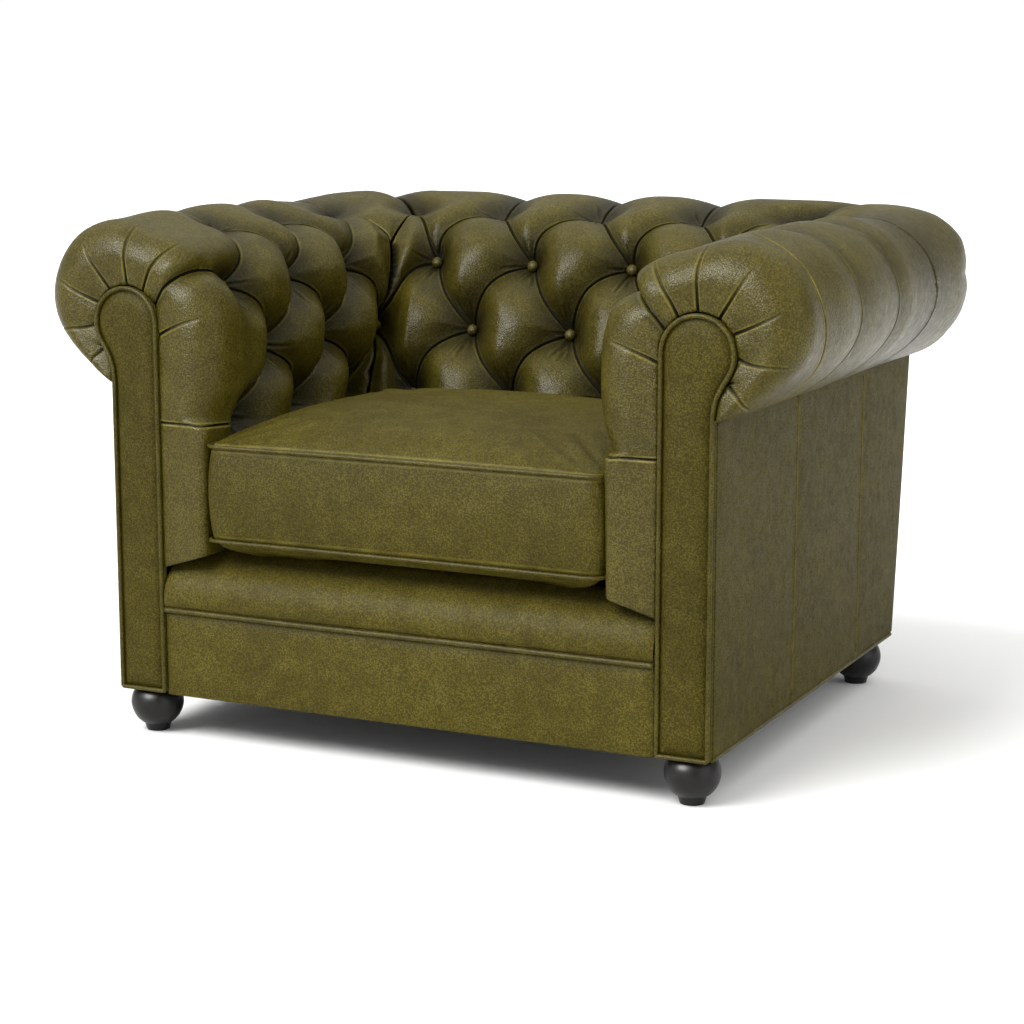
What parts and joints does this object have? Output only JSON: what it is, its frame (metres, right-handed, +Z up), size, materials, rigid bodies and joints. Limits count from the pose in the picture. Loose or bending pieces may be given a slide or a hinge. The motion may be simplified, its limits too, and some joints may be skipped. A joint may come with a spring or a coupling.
{
  "type": "club armchair",
  "caption": "Low deep-buttoned armchair with rolled arms and back level with each other, keyhole arm fronts, a loose boxed seat cushion and bun feet.",
  "frame": {"origin": "on the floor, under the middle of the chair's overall box", "axes": "+Z up, -Y the way the sitter looks, +X towards the arm on the right as seen from the front"},
  "size_m": [1.154, 0.9204, 0.742],
  "materials": {
    "leather": "semi-gloss pebbled grain",
    "leather_piping": "semi-gloss, worn lighter on the cord",
    "leather_button": "semi-gloss",
    "hardwood": "sawn, unfinished",
    "black_wood": "black satin lacquer",
    "spring_steel": "drawn wire",
    "bolt_steel": "zinc plated",
    "webbing": "woven deck cloth over padding",
    "lining": "thin non-woven cloth",
    "foam": "open-cell foam",
    "zip_tape": "woven tape with teeth",
    "zip_brass": "polished"
  },
  "bodies": {
    "chair": {"arm_pad_left": "leather", "arm_pad_right": "leather", "back_pad": "leather", "facing_left": "leather", "facing_right": "leather", "front_border": "leather", "front_lip": "leather", "outside_arm_left": "leather", "outside_arm_right": "leather", "outside_back": "leather", "facing_piping_left": "leather_piping", "facing_piping_right": "leather_piping", "border_piping": "leather_piping", "back_button_low_middle_10": "leather_button", "back_button_low_left_8": "leather_button", "back_button_low_right_8": "leather_button", "back_button_low_left_6": "leather_button", "back_button_low_right_6": "leather_button", "back_button_high_left_9": "leather_button", "back_button_high_right_9": "leather_button", "back_button_high_left_7": "leather_button", "back_button_high_right_7": "leather_button", "front_rail": "hardwood", "back_rail": "hardwood", "back_top_rail": "hardwood", "back_tack_rail": "hardwood", "front_post_left": "hardwood", "front_post_right": "hardwood", "back_post_left": "hardwood", "back_post_right": "hardwood", "side_rail_left": "hardwood", "side_rail_right": "hardwood", "roll_board_left": "hardwood", "roll_board_right": "hardwood", "arm_tack_rail_left": "hardwood", "arm_tack_rail_right": "hardwood", "corner_block_front_left": "hardwood", "corner_block_front_right": "hardwood", "corner_block_back_left": "hardwood", "corner_block_back_right": "hardwood", "foot_front_left": "black_wood", "foot_front_right": "black_wood", "foot_back_left": "black_wood", "foot_back_right": "black_wood", "seat_spring_1": "spring_steel", "seat_spring_2": "spring_steel", "seat_spring_3": "spring_steel", "seat_spring_4": "spring_steel", "foot_bolt_front_left": "bolt_steel", "foot_bolt_front_right": "bolt_steel", "foot_bolt_back_left": "bolt_steel", "foot_bolt_back_right": "bolt_steel", "seat_deck": "webbing", "dust_cover": "lining"},
    "seat_cushion": {"cushion_cover": "leather", "cushion_core": "foam", "cushion_zip": "zip_tape"},
    "zip_pull": {"zip_slider": "zip_brass"}
  },
  "joints": [
    {"name": "cushion_slide", "type": "slide", "parent": "chair", "child": "seat_cushion", "axis": [0, -1, 0], "range_m": [0, 0.52]},
    {"name": "zip_slide", "type": "slide", "parent": "seat_cushion", "child": "zip_pull", "axis": [-1, 0, 0], "range_m": [0, 0.456]}
  ]
}
